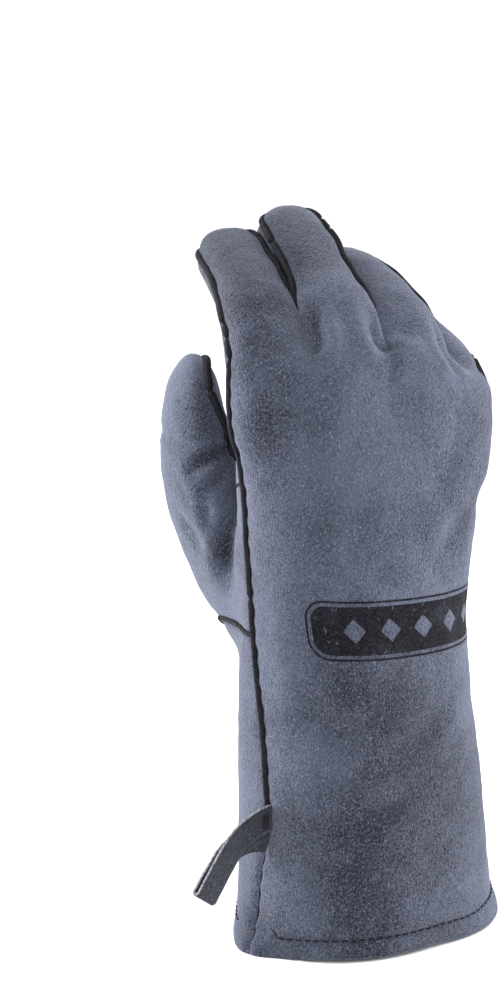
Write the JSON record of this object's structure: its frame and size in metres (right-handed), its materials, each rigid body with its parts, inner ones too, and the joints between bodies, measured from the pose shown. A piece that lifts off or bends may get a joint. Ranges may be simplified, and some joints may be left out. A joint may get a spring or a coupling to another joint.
{
  "type": "heat resistant glove",
  "caption": "Suede gauntlet glove for a right hand: a wide cuff, piped seams, lined fingers and thumb, and a side hanging loop.",
  "frame": {"origin": "centre of the cuff's mouth, in the plane of its hem", "axes": "+Z from the hem to the fingertips, +Y out of the palm, -Y out of the back, -X to the thumb side"},
  "size_m": [0.1676, 0.1352, 0.3175],
  "materials": {
    "suede": "napped grey-blue split leather",
    "gusset_suede": "napped grey-blue split leather, a little lighter",
    "welt": "black leather piping",
    "lining": "brushed cotton",
    "thread": "waxed black thread",
    "strap": "charcoal leather with pale cut edges",
    "print": "worn black ink"
  },
  "bodies": {
    "hand": {"back_panel": "suede", "badge_print": "print", "cuff_front_panel": "suede", "cuff_lining": "lining", "cuff_side_seam": "suede", "hand_lining": "lining", "hem_band": "suede", "hem_stitches": "thread", "index_knuckle_sleeve": "suede", "little_knuckle_sleeve": "suede", "little_side_welt": "welt", "middle_knuckle_sleeve": "suede", "palm_heel_panel": "suede", "ring_knuckle_sleeve": "suede", "thumb_knuckle_sleeve": "suede", "thumb_root_panel": "suede", "thumb_side_welt": "welt", "upper_palm_panel": "suede", "wrist_welt": "welt"},
    "index": {"index_back": "suede", "index_front": "suede", "index_gusset_little_side": "gusset_suede", "index_lining": "lining", "index_welt": "welt"},
    "middle": {"middle_back": "suede", "middle_front": "suede", "middle_gusset_little_side": "gusset_suede", "middle_gusset_thumb_side": "gusset_suede", "middle_lining": "lining", "middle_welt": "welt"},
    "ring": {"ring_back": "suede", "ring_front": "suede", "ring_gusset_little_side": "gusset_suede", "ring_gusset_thumb_side": "gusset_suede", "ring_lining": "lining", "ring_welt": "welt"},
    "little": {"little_back": "suede", "little_front": "suede", "little_gusset_thumb_side": "gusset_suede", "little_lining": "lining", "little_welt": "welt"},
    "thumb": {"thumb_inner_panel": "suede", "thumb_lining": "lining", "thumb_outer_panel": "suede", "thumb_welt": "welt"},
    "hanging_loop": {"loop_stitches": "thread", "loop_strap": "strap"}
  },
  "joints": [
    {"name": "index_knuckle", "type": "hinge", "parent": "hand", "child": "index", "pos_m": [-0.041, 0.004, 0.262], "axis": [-1, 0, 0], "range_deg": [-56, 22], "deforming": ["index_knuckle_sleeve"]},
    {"name": "middle_knuckle", "type": "hinge", "parent": "hand", "child": "middle", "pos_m": [-0.009, -0.003, 0.262], "axis": [-1, 0, 0], "range_deg": [-54, 22], "deforming": ["middle_knuckle_sleeve"]},
    {"name": "ring_knuckle", "type": "hinge", "parent": "hand", "child": "ring", "pos_m": [0.023, -0.002, 0.262], "axis": [-1, 0, 0], "range_deg": [-58, 22], "deforming": ["ring_knuckle_sleeve"]},
    {"name": "little_knuckle", "type": "hinge", "parent": "hand", "child": "little", "pos_m": [0.055, 0.007, 0.262], "axis": [-1, 0, 0], "range_deg": [-66, 22], "deforming": ["little_knuckle_sleeve"]},
    {"name": "thumb_knuckle", "type": "hinge", "parent": "hand", "child": "thumb", "pos_m": [-0.053, 0.0435, 0.179], "axis": [-1, 0, 0], "range_deg": [-8, 35], "deforming": ["thumb_knuckle_sleeve"]},
    {"name": "loop_swing", "type": "hinge", "parent": "hand", "child": "hanging_loop", "pos_m": [-0.057, -0.01652, 0.0595], "axis": [0, 0, 1], "range_deg": [-40, 40]}
  ]
}
